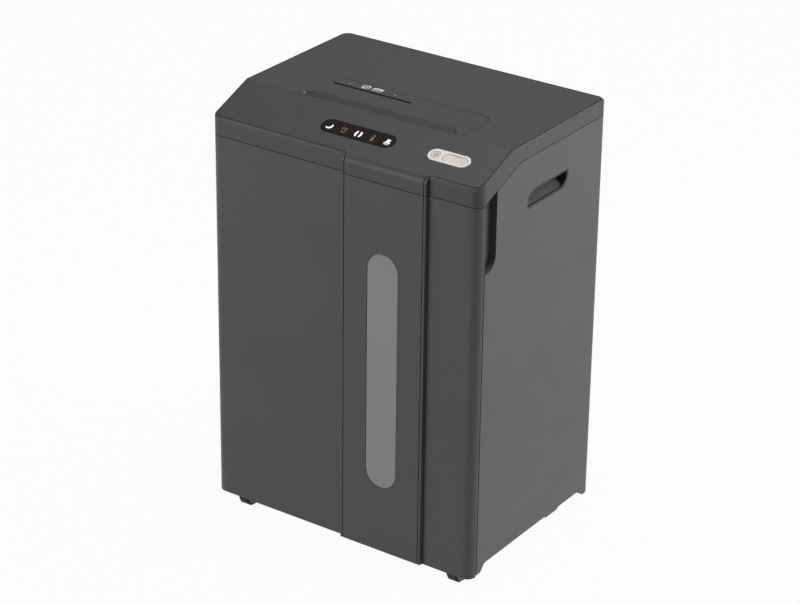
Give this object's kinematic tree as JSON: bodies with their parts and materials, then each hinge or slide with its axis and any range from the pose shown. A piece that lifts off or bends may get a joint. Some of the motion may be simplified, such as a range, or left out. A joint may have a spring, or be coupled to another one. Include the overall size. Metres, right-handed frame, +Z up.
{
  "type": "paper shredder",
  "caption": "Upright office paper shredder with a pull-out bin, viewing window, sloping control area, feed groove, card slot and castors",
  "frame": {"origin": "on the floor under the middle of the overall box", "axes": "+Z up, front towards -Y, +X to the user's right"},
  "size_m": [0.4, 0.29, 0.578],
  "materials": {
    "cover_plastic": "fine textured",
    "feed_plastic": "fine textured",
    "case_plastic": "fine textured",
    "door_plastic": "fine textured",
    "inner_plastic": "satin",
    "tub_plastic": "satin",
    "window_plastic": "smoked, translucent",
    "smoked_lens": "polished",
    "pale_plastic": "satin gloss",
    "key_plastic": "satin gloss",
    "board": "solder mask",
    "lamp": "clear",
    "component": "satin",
    "bright_steel": "ground",
    "zinc_steel": "zinc plated",
    "cutter_steel": "oiled",
    "bush_bronze": "sintered",
    "gear_steel": "sintered",
    "stator_steel": "laminated",
    "fan_plastic": "satin",
    "pin_brass": "nickel plated",
    "fork_plastic": "moulded",
    "wheel_rubber": "matt"
  },
  "bodies": {
    "cabinet": {"top_cover": "cover_plastic", "feed_panel": "feed_plastic", "feed_chute": "inner_plastic", "card_chute": "inner_plastic", "status_lens": "smoked_lens", "panel_boards": "board", "status_lamps": "lamp", "button_bezel": "pale_plastic", "side_panel_right": "case_plastic", "side_panel_left": "case_plastic", "handle_cups": "inner_plastic", "rear_panel": "case_plastic", "base_tray": "inner_plastic", "castor_sockets": "inner_plastic", "bin_rails": "inner_plastic", "head_tray": "inner_plastic", "chassis_plate_left": "zinc_steel", "chassis_plate_right": "zinc_steel", "frame_screws": "bright_steel", "tie_rods": "bright_steel", "shaft_bushes": "bush_bronze", "stripper_front": "inner_plastic", "stripper_rear": "inner_plastic", "gear_studs": "bright_steel", "gear_cover": "zinc_steel", "motor_housing": "zinc_steel", "motor_stator": "stator_steel", "motor_saddles": "zinc_steel", "control_board": "board", "board_components": "component", "power_inlet": "inner_plastic", "inlet_pins": "pin_brass", "bin_sensors": "inner_plastic", "feed_sensors": "inner_plastic"},
    "bin": {"bin_front": "door_plastic", "bin_window": "window_plastic", "bin_tub": "tub_plastic", "bin_screws": "bright_steel"},
    "power_key": {"power_button": "key_plastic"},
    "rocker_key": {"function_rocker": "key_plastic"},
    "cutter_rear": {"cutter_shaft_rear": "bright_steel", "cutter_discs_rear": "cutter_steel", "sync_gear_rear": "gear_steel", "final_gear": "gear_steel"},
    "cutter_front": {"cutter_shaft_front": "bright_steel", "cutter_discs_front": "cutter_steel", "sync_gear_front": "gear_steel"},
    "idler_b": {"idler_gear_b": "gear_steel"},
    "idler_a": {"idler_gear_a": "gear_steel"},
    "motor_spindle": {"motor_rotor": "bright_steel", "motor_fan": "fan_plastic", "motor_pinion": "gear_steel"},
    "fork_front_left": {"castor_fork_front_left": "fork_plastic"},
    "wheel_front_left": {"castor_wheel_front_left": "wheel_rubber"},
    "fork_front_right": {"castor_fork_front_right": "fork_plastic"},
    "wheel_front_right": {"castor_wheel_front_right": "wheel_rubber"},
    "fork_rear_left": {"castor_fork_rear_left": "fork_plastic"},
    "wheel_rear_left": {"castor_wheel_rear_left": "wheel_rubber"},
    "fork_rear_right": {"castor_fork_rear_right": "fork_plastic"},
    "wheel_rear_right": {"castor_wheel_rear_right": "wheel_rubber"}
  },
  "joints": [
    {"name": "bin_slide", "type": "slide", "parent": "cabinet", "child": "bin", "axis": [0, -1, 0], "range_m": [0, 0.24]},
    {"name": "power_press", "type": "slide", "parent": "cabinet", "child": "power_key", "axis": [0, 0.3669, -0.9303], "range_m": [0, 0.0009], "stiffness_N_per_m": 500},
    {"name": "rocker_tilt", "type": "hinge", "parent": "cabinet", "child": "rocker_key", "pos_m": [0.141, -0.10398, 0.56034], "axis": [0, 0.9303, 0.3669], "range_deg": [-3, 3], "stiffness_Nm_per_rad": 0.05},
    {"name": "cutter_rear_spin", "type": "hinge", "parent": "cabinet", "child": "cutter_rear", "pos_m": [0, -0.027, 0.492], "axis": [1, 0, 0], "continuous": true},
    {"name": "cutter_front_spin", "type": "hinge", "parent": "cabinet", "child": "cutter_front", "pos_m": [0, -0.063, 0.492], "axis": [1, 0, 0], "continuous": true},
    {"name": "idler_b_spin", "type": "hinge", "parent": "cabinet", "child": "idler_b", "pos_m": [0.133, 0.01702, 0.47702], "axis": [1, 0, 0], "continuous": true},
    {"name": "idler_a_spin", "type": "hinge", "parent": "cabinet", "child": "idler_a", "pos_m": [0.143, 0.05502, 0.46452], "axis": [1, 0, 0], "continuous": true},
    {"name": "motor_spin", "type": "hinge", "parent": "cabinet", "child": "motor_spindle", "pos_m": [0.06, 0.083, 0.48383], "axis": [1, 0, 0], "continuous": true},
    {"name": "swivel_front_left", "type": "hinge", "parent": "cabinet", "child": "fork_front_left", "pos_m": [-0.165, -0.1065, 0.04], "axis": [0, 0, 1], "continuous": true},
    {"name": "roll_front_left", "type": "hinge", "parent": "fork_front_left", "child": "wheel_front_left", "pos_m": [-0.165, -0.1145, 0.016], "axis": [1, 0, 0], "continuous": true},
    {"name": "swivel_front_right", "type": "hinge", "parent": "cabinet", "child": "fork_front_right", "pos_m": [0.165, -0.1065, 0.04], "axis": [0, 0, 1], "continuous": true},
    {"name": "roll_front_right", "type": "hinge", "parent": "fork_front_right", "child": "wheel_front_right", "pos_m": [0.165, -0.1145, 0.016], "axis": [1, 0, 0], "continuous": true},
    {"name": "swivel_rear_left", "type": "hinge", "parent": "cabinet", "child": "fork_rear_left", "pos_m": [-0.165, 0.11, 0.04], "axis": [0, 0, 1], "continuous": true},
    {"name": "roll_rear_left", "type": "hinge", "parent": "fork_rear_left", "child": "wheel_rear_left", "pos_m": [-0.165, 0.102, 0.016], "axis": [1, 0, 0], "continuous": true},
    {"name": "swivel_rear_right", "type": "hinge", "parent": "cabinet", "child": "fork_rear_right", "pos_m": [0.165, 0.11, 0.04], "axis": [0, 0, 1], "continuous": true},
    {"name": "roll_rear_right", "type": "hinge", "parent": "fork_rear_right", "child": "wheel_rear_right", "pos_m": [0.165, 0.102, 0.016], "axis": [1, 0, 0], "continuous": true}
  ],
  "couplings": [
    {"joint": "cutter_front_spin", "follows": "cutter_rear_spin", "ratio": -1},
    {"joint": "idler_b_spin", "follows": "cutter_rear_spin", "ratio": -3.4286},
    {"joint": "idler_a_spin", "follows": "cutter_rear_spin", "ratio": 12.245},
    {"joint": "motor_spin", "follows": "cutter_rear_spin", "ratio": -57.143}
  ]
}
